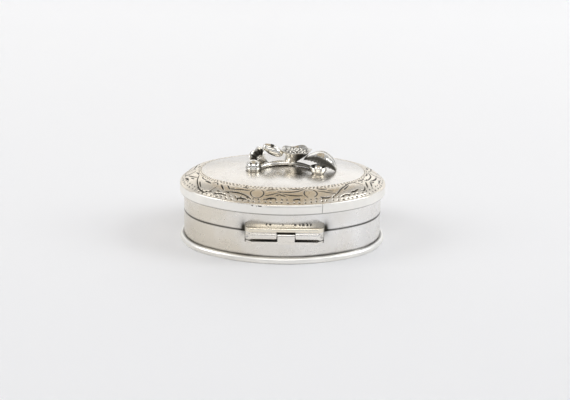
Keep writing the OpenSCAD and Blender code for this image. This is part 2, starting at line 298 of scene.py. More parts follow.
wall_silver = silver("satin silver", (0.915, 0.905, 0.89), 0.24, dark_from="shade", warm=1.0)
border_silver = silver("engraved silver", (0.89, 0.825, 0.72), 0.26, dark_from="cut", warm=0.4)
crown_silver = silver("polished silver", (0.80, 0.772, 0.728), 0.24, scratches=0.4, warm=0.45)
foot_silver = silver("foot silver", (1.0, 0.985, 0.945), 0.4, dark_from="shade", scratches=0.5, warm=0.25)
hinge_silver = silver("hinge silver", (0.94, 0.915, 0.87), 0.24, dark_from="shade", warm=0.6)
# the bar's warmer tint is a painted warm reflection
warm_lit_bar_silver = silver("hinge bar silver with painted warm reflection", (0.93, 0.87, 0.75), 0.22, dark_from="shade", warm=0.5)
flower_silver = silver("flower silver", (0.86, 0.83, 0.76), 0.15, dark_from="shade", soot=0.30)
# dark silver for the ground under the seeds and stamens: a dark sheet that paints the shade in the gaps
# between them
gap_shade_silver = silver("silver darkened for painted shade", (0.17, 0.155, 0.13), 0.42, soot=0.6)
wire_silver = silver("hinge wire", (0.62, 0.60, 0.57), 0.3)


# ---------------------------------------------------------------- what follows the oval
def oval_points(shares, out=0.0):
    """Points of the oval, drawn out by a distance; share 0 is at the back and share 0.5 at the hinge."""
    arcs = [(0, -SIDE_CENTRE, SIDE_RADIUS, math.pi / 2, math.pi - END_ANGLE),
            (-END_CENTRE, 0, END_RADIUS, math.pi - END_ANGLE, math.pi + END_ANGLE),
            (0, SIDE_CENTRE, SIDE_RADIUS, math.pi + END_ANGLE, 2 * math.pi - END_ANGLE),
            (END_CENTRE, 0, END_RADIUS, -END_ANGLE, END_ANGLE),
            (0, -SIDE_CENTRE, SIDE_RADIUS, END_ANGLE, math.pi / 2)]
    lengths = [r * (t1 - t0) for _, _, r, t0, t1 in arcs]
    ends = np.cumsum(lengths)
    points = []
    for share in shares:
        s = share * ends[-1]
        k = min(int(np.searchsorted(ends, s, side="right")), len(arcs) - 1)
        x, y, r, t0, _ = arcs[k]
        t = t0 + (s - (ends[k] - lengths[k])) / r
        points.append((x + (r + out) * math.cos(t), y + (r + out) * math.sin(t), 0.0))
    return np.array(points)


AROUND = 2 * (2 * END_ANGLE * END_RADIUS + (math.pi - 2 * END_ANGLE) * SIDE_RADIUS)
MID_BORDER_LENGTH = AROUND + 2 * math.pi * (EDGE - BORDER / 2)


def follow_group():
    """Sweeps a profile along a path, makes it slightly uneven and gives it its finish."""
    tree, given, result = new_group("follow the oval", {
        "Path": "Object", "Profile": "Object", "Unevenness": "Float", "Wave size": "Float",
        "Finish": "Material"})
    node = partial(add_node, tree)

    def curve(label):
        shape = node("GeometryNodeObjectInfo", {0: given[label]}).outputs["Geometry"]
        return node("GeometryNodeMeshToCurve", {0: shape}).outputs[0]

    upright = node("GeometryNodeSetCurveNormal", {0: curve("Path")}, mode="Z_UP")
    swept = node("GeometryNodeCurveToMesh", {0: upright.outputs[0], 1: curve("Profile")})
    noise = node("ShaderNodeTexNoise", {"Scale": given["Wave size"], "Detail": 1.5})
    centred = vector_maths(tree, "SUBTRACT", noise.outputs["Color"], (0.5, 0.5, 0.5))
    moved = vector_maths(tree, "SCALE", centred, given["Unevenness"])
    uneven = node("GeometryNodeSetPosition", {"Geometry": swept.outputs[0], "Offset": moved})
    whole = node("GeometryNodeRealizeInstances", {0: uneven.outputs[0]})
    finish = node("GeometryNodeSetMaterial", {0: whole.outputs[0], "Material": given["Finish"]})
    feed(tree, result, finish.outputs[0])
    return tree


follow_tree = follow_group()


def path_object(name, shares):
    shares = np.asarray(shares)
    return line_object(name, oval_points(shares) * MM, True, "along", (shares - 0.5) * MID_BORDER_LENGTH)


oval_path = path_object("oval path", np.arange(480) / 480)
fine_path = path_object("fine oval path", np.arange(1440) / 1440)


def arc(cx, cy, r, start, end, n):
    t = np.radians(np.linspace(start, end, n + 1))
    return [(cx + r * math.cos(a), cy + r * math.sin(a)) for a in t]


def dense(points, step):
    """The same outline with points at most a step apart along its straight runs."""
    out = []
    for (x0, y0), (x1, y1) in zip(points, points[1:] + points[:1]):
        n = max(1, int(math.hypot(x1 - x0, y1 - y0) / step))
        out += [(x0 + (x1 - x0) * i / n, y0 + (y1 - y0) * i / n) for i in range(n)]
    return out


def profile_object(name, points, closed=True, values=()):
    """A profile whose first number is the distance out from the walls and the second the height."""
    flat = [(x * MM, -z * MM, 0) for x, z in points][::-1]
    return line_object(name, flat, closed, "across", values[::-1])


def follow(name, points, finish, body, replaced, unevenness, wave=90.0, path=oval_path):
    shape = profile_object(name + " profile", points)
    return grow(name, follow_tree, {"Path": path, "Profile": shape, "Unevenness": unevenness * MM,
                                    "Wave size": wave, "Finish": finish}, body, replaced)


def rounded_bar(x0, x1, z0, z1):
    """A rectangular profile with softened corners."""
    r = 0.05
    return (arc(x1 - r, z0 + r, r, -90, 0, 3) + arc(x1 - r, z1 - r, r, 0, 90, 3)
            + arc(x0 + r, z1 - r, r, 90, 180, 3) + arc(x0 + r, z0 + r, r, 180, 270, 3))


def read_points(mesh, what="co"):
    values = np.zeros(len(mesh.vertices) * 3, np.float32)
    mesh.vertices.foreach_get(what, values)
    return values.reshape(-1, 3)


def shade_by(piece, rule):
    """Writes how dark the metal is on each point, from its place in millimetres."""
    mesh = piece.data
    made = mesh.attributes.get("shade") or mesh.attributes.new("shade", "FLOAT", "POINT")
    made.data.foreach_set("value", np.clip(rule(read_points(mesh) / MM), 0, 1).astype(np.float32))


def dent(piece, rule, depth):
    """Sinks the surface along its normals where a rule is high, and darkens it there."""
    mesh = piece.data
    places, normals = read_points(mesh), read_points(mesh, "normal")
    amount = rule(places / MM)
    moved = places - normals * (amount * depth * MM)[:, None]
    mesh.vertices.foreach_set("co", moved.astype(np.float32).ravel())
    mesh.update()
    shade_by(piece, lambda _: amount)


def smooth(value, low, high):
    t = np.clip((value - low) / (high - low), 0, 1)
    return t * t * (3 - 2 * t)


def hinge_end_shade(places):
    """Painted shade in the corners where the hinge's ends meet the walls."""
    x, y, z = places.T
    off = np.abs(x - HINGE_MIDDLE)
    near = np.exp(-((off - 7.7) / 0.42) ** 2) * np.exp(-((z - 6.5) / 1.15) ** 2)
    wide = 0.35 * np.exp(-((off - 7.9) / 0.9) ** 2) * np.exp(-((z - 6.7) / 1.6) ** 2)
    return (near + wide) * (y < 0)


def wander(places, size, seed):
    """A slow random wave round the box, from 0 to 1."""
    turn = np.arctan2(places[:, 1] / WALL_B, places[:, 0] / WALL_A)
    rng = np.random.default_rng(seed)
    total = sum(rng.uniform(0.5, 1.0) * np.sin(k * turn + rng.uniform(0, 6.28)) / math.sqrt(k)
                for k in range(2, size))
    return np.clip(0.5 + 0.22 * total, 0, 1)


def crease_shade(places):
    """Painted shade in the corner over the foot, in uneven patches."""
    height = 1.52 + 0.42 * wander(places, 14, 3)
    line = 1 - smooth(places[:, 2], 1.30, height)
    return line * (0.72 + 0.28 * wander(places, 60, 4))


foot = follow("foot_moulding",
              dense([(0.01, 0.02)] + arc(0.36, 0.28, 0.26, -90, -40, 3)
                    + arc(0.14, 0.65, 0.65, -36, 90, 14) + [(0.01, 1.3)], 0.3),
              foot_silver, "base", ["foot_rim"], unevenness=0.015)
# painted shade in the crease along the foot's top
shade_by(foot, lambda p: 0.75 * smooth(p[:, 2], 1.2, 1.32))

base_side = follow("base_side", dense(rounded_bar(-WALL, 0, 0.02, SEAM), 0.2),
                   wall_silver, "base", ["base_wall"], unevenness=0.05, wave=70)
# painted shade over the foot, beside the hinge's ends, and along the seam at the wall's top
shade_by(base_side, lambda p: crease_shade(p) + 0.6 * hinge_end_shade(p)
         + (0.55 + 0.4 * wander(p, 12, 6)) * smooth(p[:, 2], SEAM - 0.17, SEAM - 0.03))

lid_side = follow("lid_side", dense(rounded_bar(-WALL, 0, LID_BOTTOM, PLATE_BOTTOM - 0.02), 0.2),
                  wall_silver, "lid", ["lid_wall"], unevenness=0.05, wave=75)
# painted shade: a shadow line under the rim band, beside the hinge's ends, and along the seam at the wall's
# bottom
shade_by(lid_side, lambda p: (0.6 + 0.4 * wander(p, 12, 8)) * smooth(p[:, 2], 9.50, 9.70) + hinge_end_shade(p)
         + 0.6 * (1 - smooth(p[:, 2], LID_BOTTOM + 0.02, LID_BOTTOM + 0.15)))

follow("inner_bezel",
       dense([(-0.62, 0.62), (-0.62, SEAM), (-0.73, SEAM + 0.03), (-0.74, 7.2),
              (-0.80, 7.4), (-0.9, 7.44), (-1.0, 7.4), (-1.04, 7.3), (-1.04, 0.62)], 0.4),
       wall_silver, "base", ["bezel"], unevenness=0.01)

# The middle line of the rim band near the hinge, and the solder joint in it
RIM_LINE, RIM_BEND = 23.9, 24.7
JOINT_X = 7.5
# Each pit: its place, then its half width and half height
PITS = ((-5.55, 11.42, 0.20, 0.10), (-4.15, 11.40, 0.42, 0.11), (-4.75, 11.36, 0.12, 0.07))


def share_at(x):
    """The share of the way round at which the rim passes a place along the hinge."""
    return 0.5 + RIM_LINE * math.asin(x / RIM_BEND) / AROUND


def rim_shares():
    """Evenly spaced stations, with more of them at the solder joint and at the pits."""
    even = list(np.arange(480) / 480)
    even += [share_at(JOINT_X) + d / AROUND for d in (
        -0.14, -0.09, -0.06, -0.035, -0.015, 0, 0.015, 0.035, 0.06, 0.09, 0.14)]
    even += [share_at(x) for x in np.arange(-6.2, -3.2, 0.05)]
    return sorted(set(round(v, 9) for v in even))


rim = follow("rim_moulding",
             [(0.01, PLATE_BOTTOM - 1.5)]
             + arc(OVERHANG - 0.14, PLATE_BOTTOM - 1.36, 0.14, -90, 0, 4)
             + [(OVERHANG, z) for z in np.arange(PLATE_BOTTOM - 1.2, PLATE_BOTTOM - 0.3, 0.1)]
             + [(OVERHANG, z) for z in np.arange(PLATE_BOTTOM - 0.3, PLATE_BOTTOM + 0.26, 0.04)]
             + arc(OVERHANG - EDGE_ROUND, PLATE_BOTTOM + PLATE - EDGE_ROUND, EDGE_ROUND, 8, 60, 6)
             + [(0.2, PLATE_BOTTOM + 0.2), (0.2, PLATE_BOTTOM), (0.01, PLATE_BOTTOM)],
             foot_silver, "lid", ["rim_band"], unevenness=0.025, wave=80,
             path=path_object("rim path", rim_shares()))


def mark_rim(places):
    """The solder joint, the line that runs from it along the band's top, and the pits."""
    x, y, z = places.T
    front = y < -12
    joint = np.exp(-((x - JOINT_X - 0.03 * (z - 10.5)) / 0.035) ** 2) * front * smooth(z, 9.9, 10.1)
    line = 0.5 * np.exp(-((z - 11.36) / 0.035) ** 2) * front \
        * smooth(x, -3.4, -2.6) * (1 - smooth(x, 7.2, JOINT_X))
    marks = np.maximum(joint, line)
    for px, pz, wide, tall in PITS:
        away = np.hypot((x - px) / wide, (z - pz) / tall)
        marks = np.maximum(marks, (1 - smooth(away, 0.75, 1.1)) * front)
    return marks


dent(rim, mark_rim, 0.07)
# the joint, line and pits are real marks; the dark bottom edge of the band is painted shade under it
shade_by(rim, lambda p: mark_rim(p) + 0.9 * (1 - smooth(p[:, 2], 9.88, 10.02)))


# ---------------------------------------------------------------- the engraved border
def cut_strip(points, width, steps=18):
    """A graver's tapered cut along a smooth line through a few points, as flat corners and faces."""
    given = np.array(points, float)
    way = np.concatenate([[0], np.cumsum(np.linalg.norm(np.diff(given, axis=0), axis=1))])
    t = np.linspace(0, way[-1], steps + 1)
    if len(given) > 2:
        power = min(3, len(given) - 1)
        line = np.stack([np.polynomial.Polynomial(np.polynomial.polynomial.polyfit(
            way, given[:, k], power))(t) for k in (0, 1)], axis=1)
    else:
        line = np.stack([np.interp(t, way, given[:, k]) for k in (0, 1)], axis=1)
    return ribbon(line, width)


def ribbon(line, width):
    """Flat corners and faces along a line, widest before its middle and narrow at its ends."""
    along = np.gradient(line, axis=0)
    along /= np.linalg.norm(along, axis=1)[:, None]
    side = np.stack([-along[:, 1], along[:, 0]], axis=1)
    share = np.linspace(0, 1, len(line))
    half = 0.8 * width / 2 * (0.12 + 0.88 * np.sin(math.pi * share ** 0.8) ** 0.7)
    corners = np.concatenate([line + side * half[:, None], line - side * half[:, None]])
    n = len(line)
    return corners, [(i, i + 1, n + i + 1, n + i) for i in range(n - 1)]


def round_cut(cx, cy, rx, ry, start, end, width):
    """A graver's cut round part of an oval."""
    t = np.radians(np.linspace(start, end, 26))
    return ribbon(np.stack([cx + rx * np.cos(t), cy + ry * np.sin(t)], axis=1), width)


def flat_object(name, cuts):
    """Cuts lying in the flat, joined into one object that only feeds a node group."""
    corners, faces = [], []
    for points, quads in cuts:
        faces += [tuple(i + len(corners) for i in quad) for quad in quads]
        corners += [(x, y, 0) for x, y in points]
    return bpy.data.objects.new(name, surface(name, corners, faces))


# Along the border to the right, and in from its middle line towards the crown
ring_motif = flat_object("ring motif", [
    round_cut(0, 0.05, 1.2, 1.0, 128, 238, 0.18),
    round_cut(0, 0.05, 1.2, 1.0, 62, -62, 0.2),
    round_cut(0, 0.05, 1.2, 1.0, 64, 126, 0.07),
    cut_strip([(-0.8, 1.35), (-2.2, 0.75), (-4.0, 0.45), (-6.2, 0.8)], 0.24),
    cut_strip([(-1.5, -0.35), (-3.4, -0.35), (-5.2, 0.1)], 0.26),
    cut_strip([(-1.6, 1.5), (-2.5, 1.42), (-3.5, 1.45)], 0.24),
    cut_strip([(-2.1, -1.05), (-3.3, -1.2)], 0.22),
    cut_strip([(-4.6, -0.5), (-5.6, -0.25)], 0.2),
    cut_strip([(1.7, 1.25), (2.6, 0.95), (3.5, 0.95)], 0.3),
    cut_strip([(1.5, 0.55), (2.9, 0.05), (4.6, -0.55)], 0.2),
    cut_strip([(1.6, -0.9), (2.4, -1.15), (3.4, -1.1)], 0.24),
    cut_strip([(3.4, 0.35), (4.4, 0.1)], 0.2),
])
crook_motif = flat_object("crook motif", [
    cut_strip([(-6.0, -1.1), (-3.2, 0.45), (-1.5, 1.3), (0.0, 1.45), (1.1, 0.95), (1.55, 0.0)], 0.2, 40),
    cut_strip([(-3.1, 0.0), (-2.3, 0.45), (-1.5, 0.85)], 0.22),
    round_cut(0.75, -0.25, 0.78, 0.75, -10, -150, 0.18),
    cut_strip([(-2.2, -0.75), (-1.2, -0.7), (-0.2, -0.5)], 0.34),
    cut_strip([(-4.4, -1.25), (-3.2, -1.0), (-2.4, -1.05)], 0.2),
    cut_strip([(2.1, -0.75), (2.7, -0.2), (3.3, 0.35)], 0.32),
    cut_strip([(1.9, 1.4), (3.0, 1.15), (4.4, 1.35)], 0.2),
    cut_strip([(3.4, -0.9), (3.9, -0.5), (4.3, 0.0)], 0.28),
    cut_strip([(4.0, 0.55), (4.7, 0.8)], 0.2),
    cut_strip([(2.2, 0.75), (2.9, 0.75)], 0.2),
])
dash_motif = flat_object("dash motif", [
    (np.array([(-0.17, -0.05), (0.13, -0.09), (0.19, 0.0), (0.13, 0.09), (-0.17, 0.05)]),
     [(0, 1, 2, 3, 4)])])

# Each row of dashes: its distance in from the edge, its spacing and the size of its dashes
DASH_ROWS = ((4.1, 0.76, 0.95), (3.7, 0.8, 0.9), (1.0, 1.02, 0.75), (0.56, 0.98, 0.75))
MOTIFS_ROUND, MOTIF_INSET, MOTIF_SHIFT = 10.0, 2.2, 0.3


def engrave_group():
    """Sweeps the border, lays the motifs and dashes out flat, and sinks the border where they fall."""
    tree, given, result = new_group("engrave the border", {
        "Path": "Object", "Profile": "Object", "Ring": "Object", "Crook": "Object", "Dash": "Object",
        "Length round": "Float", "Depth": "Float", "Softness": "Float", "Finish": "Material"})
    node, calc = partial(add_node, tree), partial(maths, tree)
    plus, minus, times = sums(tree)
    length = given["Length round"]
    pitch = calc("DIVIDE", length, MOTIFS_ROUND)
    joined = node("GeometryNodeJoinGeometry")

    def line(count, first, step, level):
        return node("GeometryNodeMeshLine", {
            "Count": count, "Start Location": combine(tree, first, level),
            "Offset": combine(tree, step, 0.0)}).outputs[0]

    def lay(label, points, **sockets):
        """Puts copies of a flat cut on points."""
        shape = node("GeometryNodeObjectInfo", {0: given[label]}).outputs["Geometry"]
        copies = node("GeometryNodeInstanceOnPoints", {"Points": points, "Instance": shape, **sockets})
        tree.links.new(copies.outputs[0], joined.inputs[0])

    # fourteen motifs; each one's kind and way up follow from how many steps it is from the hinge
    spots = line(14, plus(times(pitch, -6.5), MOTIF_SHIFT * MM), pitch, MOTIF_INSET * MM)
    step = minus(node("GeometryNodeInputIndex").outputs[0], 7.0)
    wrapped = minus(calc("FLOORED_MODULO", plus(step, 5.0), MOTIFS_ROUND), 5.0)
    from_hinge = minus(calc("ABSOLUTE", plus(wrapped, 0.5)), 0.5)
    odd = calc("FLOORED_MODULO", from_hinge, 2.0)
    flip = minus(1.0, times(calc("LESS_THAN", wrapped, -0.5), 2.0))
    for label, test in (("Ring", "LESS_THAN"), ("Crook", "GREATER_THAN")):
        lay(label, spots, Selection=calc(test, odd, 0.5), Scale=combine(tree, 1.0, flip, 1.0))
    for seed, (inset, spacing, size) in enumerate(DASH_ROWS):
        count = calc("CEIL", calc("DIVIDE", length, spacing * MM))
        row = line(count, times(length, -0.5), spacing * MM, inset * MM)
        shift = random_vector(tree, (-0.12 * MM, -0.05 * MM, 0), (0.12 * MM, 0.05 * MM, 0), 11 + seed)
        scattered = node("GeometryNodeSetPosition", {"Geometry": row, "Offset": shift})
        spin = random_vector(tree, (0, 0, -0.5), (0, 0, 0.5), 31 + seed)
        scale = random_vector(tree, (0.65 * size, 0.75 * size, 1), (1.2 * size, 1.2 * size, 1), 51 + seed)
        lay("Dash", scattered.outputs[0], Rotation=spin, Scale=scale)
    whole = node("GeometryNodeRealizeInstances", {0: joined.outputs[0]})
    noise = node("ShaderNodeTexNoise", {"Scale": 420.0})
    drift = vector_maths(tree, "SUBTRACT", noise.outputs["Color"], (0.5, 0.5, 0.5))
    drift = vector_maths(tree, "MULTIPLY", drift, (0.35 * MM, 0.3 * MM, 0))
    by_hand = node("GeometryNodeSetPosition", {"Geometry": whole.outputs[0], "Offset": drift})

    def stored(name):
        read = node("GeometryNodeInputNamedAttribute", {"Name": name}, data_type="FLOAT")
        return times(read.outputs[0], MM)

    near = node("GeometryNodeProximity", {
        0: by_hand.outputs[0], "Sample Position": combine(tree, stored("along"), stored("across"))},
        target_element="FACES")
    cut = map_range(tree, near.outputs["Distance"], 0.0, given["Softness"], 1.0, 0.0, kind="SMOOTHSTEP")
    sweep = node("GeometryNodeGroup", {"Unevenness": 0.0, **{
        label: given[label] for label in ("Path", "Profile", "Finish")}}, node_tree=follow_tree)
    mark = node("GeometryNodeStoreNamedAttribute", {0: sweep.outputs[0], "Name": "cut", "Value": cut},
                data_type="FLOAT", domain="POINT")
    depth = times(times(cut, given["Depth"]), -1.0)
    down = vector_maths(tree, "SCALE", node("GeometryNodeInputNormal").outputs[0], depth)
    sunk = node("GeometryNodeSetPosition", {"Geometry": mark.outputs[0], "Offset": down})
    real = node("GeometryNodeRealizeInstances", {0: sunk.outputs[0]})
    finish = node("GeometryNodeSetMaterial", {0: real.outputs[0], "Material": given["Finish"]})
    feed(tree, result, finish.outputs[0])
    return tree


border_insets = np.linspace(EDGE_ROUND, BORDER, 58)
border_line = [(OVERHANG - EDGE_ROUND + EDGE_ROUND * math.cos(math.radians(a)),
                PLATE_BOTTOM + PLATE - EDGE_ROUND + EDGE_ROUND * math.sin(math.radians(a)))
               for a in (0, 15, 30, 45, 58)]
border_values = [0.0, 0.01, 0.04, 0.09, 0.16]
border_line += [(EDGE - d, float(plate_height(d))) for d in border_insets]
border_values += list(border_insets)
grow("engraved_border", engrave_group(), {
    "Path": fine_path,
    "Profile": profile_object("border profile", border_line, False, border_values),
    "Ring": ring_motif, "Crook": crook_motif, "Dash": dash_motif,
    "Length round": MID_BORDER_LENGTH * MM, "Depth": 0.05 * MM, "Softness": 0.075 * MM,
    "Finish": border_silver}, "lid", ["lid_plate"], 80)


def crown_mesh():
    """The plain middle of the lid plate, and its underside down to the lid's wall."""
    shares = np.arange(480) / 480
    seat_inset = EDGE + WALL + 0.35
    rows = [(d, float(plate_height(d)))
            for d in BORDER + (CROWN_REACH - BORDER) * np.linspace(0, 1, 15) ** 0.9]
    top, n = len(rows), len(shares)
    rows += [(d, float(plate_height(d)) - PLATE) for d in np.linspace(CROWN_REACH, seat_inset, 24)]
    rows.append((seat_inset, PLATE_BOTTOM))
    corners = [(x, y, z) for d, z in rows for x, y, _ in oval_points(shares, EDGE - d)]
    # the top's last ring and the underside's first have a cap each, and nothing joins them
    faces = [face[::-1] for k, face in enumerate(ring_faces(len(rows), n)) if k // n != top - 1]
    faces += [tuple(reversed(range((top - 1) * n, top * n))), tuple(range(top * n, (top + 1) * n))]
    return surface("lid_crown", corners, faces, crown_silver)


keep("lid_crown", crown_mesh(), "lid", ["lid_plate"], 50)


# ---------------------------------------------------------------- the hinge
def wall_line(x):
    """How far the wall's face lies from the hinge axis, at a place along the hinge."""
    return SIDE_CENTRE - math.sqrt(SIDE_RADIUS ** 2 - x * x) - AXIS_Y


def hinge_piece(name, profile, x0, x1, body, replaced, finish=hinge_silver):
    """A bar along the hinge. The profile is (y, z) about the axis; y None is where it meets the wall."""
    into_wall, soften = 0.25, 0.03
    places = [x0, x0 + soften]
    places += [x for x in np.arange(math.ceil(x0 / 0.1) * 0.1, x1, 0.1) if x0 + 0.06 < x < x1 - 0.06]
    places += [x1 - soften, x1]
    centre = np.mean([[0.9 if y is None else y, z] for y, z in profile], axis=0)
    rings = []
    for x in places:
        ring = []
        for y, z in profile:
            if y is None:
                ring.append((x, AXIS_Y + wall_line(x) + into_wall, AXIS_Z + z))
                continue
            start = HINGE_HALF - HINGE_CHAMFER + 0.22 * min(0.0, z - BAR_TOP)
            limit = -KNUCKLE + max(0.0, abs(x - HINGE_MIDDLE) - start)
            y = max(y, min(limit, wall_line(x)))
            if x in (x0, x1):
                away = np.array([y, z]) - centre
                size = np.linalg.norm(away)
                y, z = centre + away * max(0.0, 1 - soften / max(size, 1e-6))
            ring.append((x, AXIS_Y + y, AXIS_Z + z))
        rings.append(ring)
    return keep(name, solid(name, rings, finish), body, replaced, 32)


bar_profile = ([(None, BAR_BOTTOM), (-0.69, BAR_BOTTOM), (-KNUCKLE, BAR_BOTTOM + 0.06)]
               + arc(-KNUCKLE + 0.42, BAR_TOP - 0.42, 0.42, 180, 98, 9)
               + [(0.0, BAR_TOP + 0.02), (0.35, BAR_TOP + 0.05), (0.6, BAR_TOP + 0.1),
                  (None, BAR_TOP + 0.14)])
bar = hinge_piece("hinge_bar_piece", bar_profile[::-1], HINGE_LEFT, HINGE_RIGHT, "lid", ["hinge_bar"],
                  warm_lit_bar_silver)


def bar_pits_and_shade(places):
    """Solder pits along the back of the bar's top, and painted shade on its ends and its top face."""
    x, _, z = places.T
    pits = np.zeros(len(x))
    for px, wide in ((-2.9, 0.22), (-2.2, 0.3), (0.2, 0.16), (2.5, 0.3), (3.35, 0.22), (4.0, 0.35),
                     (4.75, 0.25), (5.4, 0.2)):
        pits = np.maximum(pits, 1 - smooth(np.abs(x - px) / wide, 0.5, 1.1))
    back = smooth(z - AXIS_Z, BAR_TOP + 0.035, BAR_TOP + 0.1)
    ends = smooth(np.abs(x - HINGE_MIDDLE), 7.05, HINGE_HALF)
    top = 0.27 * smooth(z - AXIS_Z, BAR_TOP - 0.14, BAR_TOP - 0.03)
    return np.maximum.reduce([pits * back, ends * 0.75, top])


shade_by(bar, bar_pits_and_shade)

outer_profile = (arc(0, 0, KNUCKLE, 350, 234, 14)
                 + [(-0.66, -0.42), (-KNUCKLE, -0.22), (-KNUCKLE, 0.25), (-0.73, 0.45),
                    (-0.64, 0.6), (-0.6, 0.66), (-0.66, 0.72), (-KNUCKLE, 0.8), (-KNUCKLE, BAR_BOTTOM),
                    (0.74, BAR_BOTTOM)])


def knuckle_shade(p):
    """Painted shade: a dark line under the step below the bar, and dark ends."""
    step = 0.75 * np.exp(-((p[:, 2] - AXIS_Z - 0.66) / 0.06) ** 2) * (p[:, 1] < AXIS_Y - 0.5)
    return np.maximum(step, 0.8 * smooth(np.abs(p[:, 0] - HINGE_MIDDLE), 7.1, HINGE_HALF))


for side, x0, x1 in (("left", HINGE_LEFT, MIDDLE_LEFT - KNUCKLE_GAP),
                     ("right", MIDDLE_RIGHT + KNUCKLE_GAP, HINGE_RIGHT)):
    shade_by(hinge_piece(side + "_knuckle_piece", outer_profile[::-1], x0, x1, "lid",
                         [side + "_knuckle"]), knuckle_shade)
middle_profile = (arc(0, 0, KNUCKLE, 60, 180, 14)
                  + [(-KNUCKLE, -0.6), (-0.72, -0.915), (0.42, -0.915), (0.55, -0.5), (0.7, -0.2)])
middle = hinge_piece("middle_knuckle_piece", middle_profile, MIDDLE_LEFT, MIDDLE_RIGHT,
                     "base", ["middle_knuckle"])
# painted shade on the middle knuckle's ends, its left edge and its top, in the gaps beside and under the
# bar
shade_by(middle, lambda p: np.maximum(
    0.5 * smooth(np.abs(p[:, 0] - MIDDLE_CENTRE), MIDDLE_HALF - 0.06, MIDDLE_HALF)
    + 0.4 * smooth(-p[:, 0], 0.74, 0.8),
    0.95 * smooth(p[:, 2] - AXIS_Z, 0.34, 0.5)))

ledge_profile = [(None, LEDGE_TOP), (-0.80, LEDGE_TOP), (-0.845, LEDGE_TOP - 0.05),
                 (-0.845, LEDGE_TOP - 0.3), (-0.8, LEDGE_TOP - 0.42), (-0.7, LEDGE_TOP - 0.49),
                 (None, LEDGE_TOP - 0.49)]
ledge = hinge_piece("hinge_ledge_piece", ledge_profile, HINGE_LEFT, HINGE_RIGHT, "base",
                    ["hinge_ledge"])
# painted shade on the ledge's ends, and along its top where the outer knuckles sit over it
shade_by(ledge, lambda p: 0.85 * smooth(np.abs(p[:, 0] - HINGE_MIDDLE), 7.0, HINGE_HALF)
         + 0.7 * smooth(p[:, 2] - AXIS_Z, LEDGE_TOP - 0.03, LEDGE_TOP)
         * (np.abs(p[:, 0] - MIDDLE_CENTRE) > MIDDLE_HALF))

pin_place = Matrix.Translation((-6.75, AXIS_Y, AXIS_Z)) @ Matrix.Rotation(math.pi / 2, 4, "Y")
turned("hinge_pin_piece", [(0.28, 0.0), (0.33, 0.04), (0.345, 0.1), (0.345, 14.4),
                           (0.33, 14.46), (0.28, 14.5)],
       pin_place, wire_silver, "lid", ["hinge_pin"], 24)


floor_rings = [[(x, y, z) for x, y, _ in oval_points(np.arange(240) / 240, out)]
               for out, z in ((-0.62, 0.0), (-0.61, 0.02), (-0.61, 0.6), (-0.62, 0.62))]
keep("floor_plate", solid("floor_plate", floor_rings, wall_silver), "base", ["base_plate"])


def thumb_rings():
    """A flat half-moon lip with a softened edge."""
    half, reach = 3.0, 0.98
    angles = np.radians(np.linspace(38, 142, 61))
    rings = []
    for shrink, level in ((-0.06, 0.0), (0.0, 0.06), (0.0, 0.54), (-0.06, 0.59)):
        z = LID_BOTTOM + level
        outer = [((half + shrink) * math.cos(a), (half + shrink) * math.sin(a)) for a in angles]
        rings.append([(x, WALL_B + reach - half + y, z) for x, y in outer]
                     + [(x, WALL_B - 0.2 - x * x / (2 * SIDE_RADIUS), z) for x, _ in outer[::-1]])
    return rings


keep("thumb_lip", solid("thumb_lip", thumb_rings(), hinge_silver), "lid", ["thumb_piece"])


# ---------------------------------------------------------------- the flowers
def planted(x, y, z, lean=0.0, bearing=0.0):
    """A place on the lid, leaning towards a bearing, both in degrees."""
    return Matrix.Translation((x, y, z)) @ Matrix.Rotation(math.radians(bearing), 4, "Z") \
        @ Matrix.Rotation(math.radians(lean), 4, "Y")


def along_axis(place, places):
    """Points in a planted piece's own frame, in millimetres."""
    back = np.array(place.inverted())
    return places @ back[:3, :3].T + back[:3, 3]


# The stem wire, bent round from one bud to the other, thicker along its part nearer the left bud
stem_rings = []
for k in range(61):
    share = k / 60
    t = math.radians(148 - 136 * share)
    middle_line = Vector((0.6 + 6.3 * math.cos(t), -4.9 + 6.3 * math.sin(t),
                          CROWN_TOP + 0.22 + 0.35 * math.sin(math.pi * share) * (1 - 0.6 * share)))
    outward = Vector((math.cos(t), math.sin(t), 0))
    girth = 0.34 + 0.2 * (1 - smooth(share, 0.38, 0.55)) + 0.03 * math.sin(23 * share)
    stem_rings.append([middle_line + (outward * math.cos(a) + Vector((0, 0, 1)) * math.sin(a)) * girth
                       for a in np.linspace(0, 2 * math.pi, 16, endpoint=False)])
stem = loft("stem_wire", stem_rings, flower_silver, "lid", ["flower_stem"])
# painted shade on the stem's underside and on its right part, under the cup
shade_by(stem, lambda p: np.maximum(0.9 * (1 - smooth(p[:, 2], CROWN_TOP + 0.1, CROWN_TOP + 0.4)),
                                   0.85 * smooth(p[:, 0], 1.5, 3.0)))

# The middle flower: a trumpet whose neck comes in from the left
CUP_X, CUP_Y, CUP_HIGH, CUP_MOUTH = 2.5, 2.3, 3.05, 3.16
NECK_X, NECK_RADIUS = 1.3, 1.1


def cup_radius(share):
    """The cup's radius at a share of its height."""
    return NECK_RADIUS + (CUP_MOUTH - NECK_RADIUS) * share ** 1.45


def cup_ring(share, inner):
    """A ring of the cup's wavy wall, drawn in by a distance."""
    ring = []
    x = NECK_X + (CUP_X - NECK_X) * smooth(share, 0.0, 0.75)
    above = max(0.0, share)
    edge = above ** 3
    for k in range(120):
        a = 2 * math.pi * k / 120
        lobe = math.cos(5 * a + 0.6)
        wavy = 1 + edge * (0.045 * lobe - 0.04 + 0.012 * math.cos(13 * a))
        radius = cup_radius(above) * wavy - inner
        height = CUP_HIGH * share + edge * (0.13 * lobe + 0.05 * math.sin(2 * a + 1)) - 0.12 * edge
        ring.append((x + radius * math.cos(a), CUP_Y + radius * math.sin(a), CROWN_TOP + height))
    return ring


